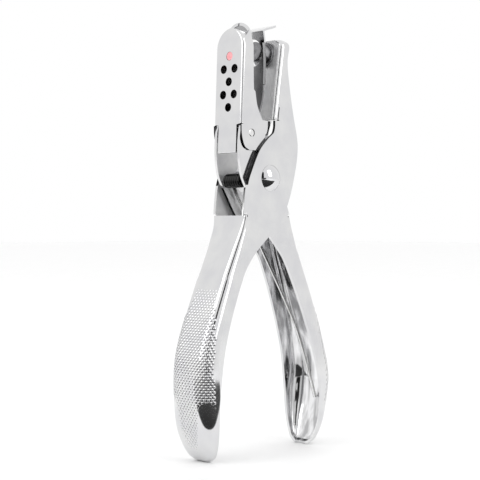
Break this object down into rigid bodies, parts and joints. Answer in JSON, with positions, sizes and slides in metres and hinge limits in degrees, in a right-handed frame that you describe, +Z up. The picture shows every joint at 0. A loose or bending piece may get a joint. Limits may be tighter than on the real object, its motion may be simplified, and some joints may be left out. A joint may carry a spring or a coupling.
{
  "type": "hole punch",
  "caption": "Hand-held plier hole punch with nested sheet-steel levers, a shear punch and die, a stripper leaf, a torsion spring and a hinged chip cover.",
  "frame": {"origin": "under the middle of the punch as it stands on its two handle toes, at the level of the toes", "axes": "+Z up from the handle toes to the jaws, +Y along the pivot away from the chip cover's right-hand side, +X across the jaws from the die lever's cover towards the punch"},
  "size_m": [0.0565, 0.0176, 0.1288],
  "materials": {
    "plated_steel": "bright nickel plate on polished sheet steel",
    "hardened_steel": "turned and ground, unplated",
    "spring_steel": "plated spring steel",
    "marker_plastic": "moulded, glossy"
  },
  "bodies": {
    "die_lever": {"die_lever": "plated_steel", "die_bush": "hardened_steel", "cover_hinge_pin": "plated_steel", "spring_pin": "hardened_steel", "torsion_spring": "spring_steel"},
    "punch_lever": {"punch_lever": "plated_steel", "punch_pin": "hardened_steel", "pivot_rivet": "plated_steel"},
    "stripper": {"stripper_leaf": "spring_steel"},
    "cover": {"chip_cover": "plated_steel", "position_marker": "marker_plastic"}
  },
  "joints": [
    {"name": "main_pivot", "type": "hinge", "parent": "die_lever", "child": "punch_lever", "pos_m": [0, 0, 0.0825], "axis": [0, -1, 0], "range_deg": [0, 8.7], "stiffness_Nm_per_rad": 1.5, "springref_deg": -28.65, "deforming": ["torsion_spring"]},
    {"name": "leaf_pivot", "type": "hinge", "parent": "die_lever", "child": "stripper", "pos_m": [-0.0071, 0, 0.0957], "axis": [0, -1, 0], "range_deg": [0, 7.9]},
    {"name": "cover_hinge", "type": "hinge", "parent": "die_lever", "child": "cover", "pos_m": [-0.0071, 0, 0.0957], "axis": [0, -1, 0], "range_deg": [0, 35]}
  ],
  "couplings": [
    {"joint": "leaf_pivot", "follows": "main_pivot", "ratio": 0.9}
  ]
}
